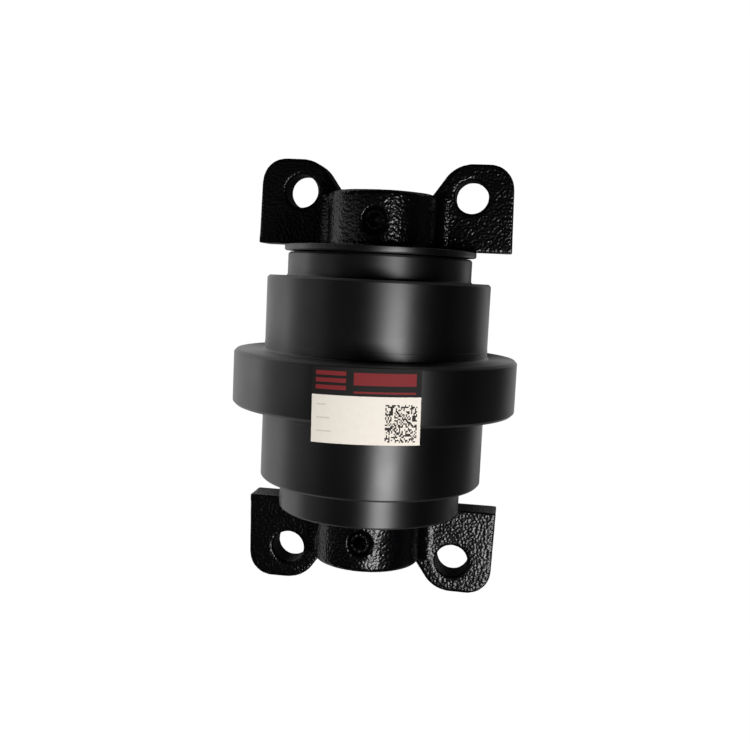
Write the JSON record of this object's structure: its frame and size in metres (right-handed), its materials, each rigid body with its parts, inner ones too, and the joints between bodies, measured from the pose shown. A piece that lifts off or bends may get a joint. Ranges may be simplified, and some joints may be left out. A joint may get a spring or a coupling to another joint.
{
  "type": "track roller",
  "caption": "Centre-flange track roller with two bolt-on cast collars; the two-tread shell turns on bushes round a fixed, sealed, oil-filled shaft.",
  "frame": {"origin": "on the shaft's axis, halfway between the two collars, in the middle plane of the flange", "axes": "+Y along the shaft towards end A, the end whose guard disc shows; -Z the way the mounting faces of the collars look; +X across, completing the right-handed frame. The part lies as on a bench: bolted under a track frame it is turned over, and -Z points up."},
  "size_m": [0.15, 0.2324, 0.1501],
  "materials": {
    "shell_paint": "smooth semi-gloss black paint over forged, machined and hardened steel",
    "cast_paint": "gloss black paint over the rough skin of a sand casting",
    "ground_steel": "ground, induction-hardened shaft steel",
    "spring_steel": "black oiled spring steel",
    "bush_bronze": "turned bronze",
    "seal_iron": "lapped alloy cast iron",
    "nitrile": "moulded black nitrile rubber",
    "zinc_steel": "zinc plated and passivated steel",
    "copper": "soft annealed copper",
    "label_film": "printed polyester label with a dark header band"
  },
  "bodies": {
    "mounting": {"shaft": "ground_steel", "collar_a": "cast_paint", "collar_b": "cast_paint", "lock_pin_a": "spring_steel", "lock_pin_b": "spring_steel", "seal_ring_collar_a": "seal_iron", "seal_ring_collar_b": "seal_iron", "toric_collar_a": "nitrile", "toric_collar_b": "nitrile", "shaft_o_ring_a": "nitrile", "shaft_o_ring_b": "nitrile", "oil_plug": "zinc_steel", "plug_washer": "copper"},
    "roller": {"roller_shell": "shell_paint", "label": "label_film", "bush_a": "bush_bronze", "bush_b": "bush_bronze", "seal_ring_shell_a": "seal_iron", "seal_ring_shell_b": "seal_iron", "toric_shell_a": "nitrile", "toric_shell_b": "nitrile"}
  },
  "joints": [
    {"name": "roller_spin", "type": "hinge", "parent": "mounting", "child": "roller", "pos_m": [0, 0, 0], "axis": [0, 1, 0], "continuous": true}
  ]
}
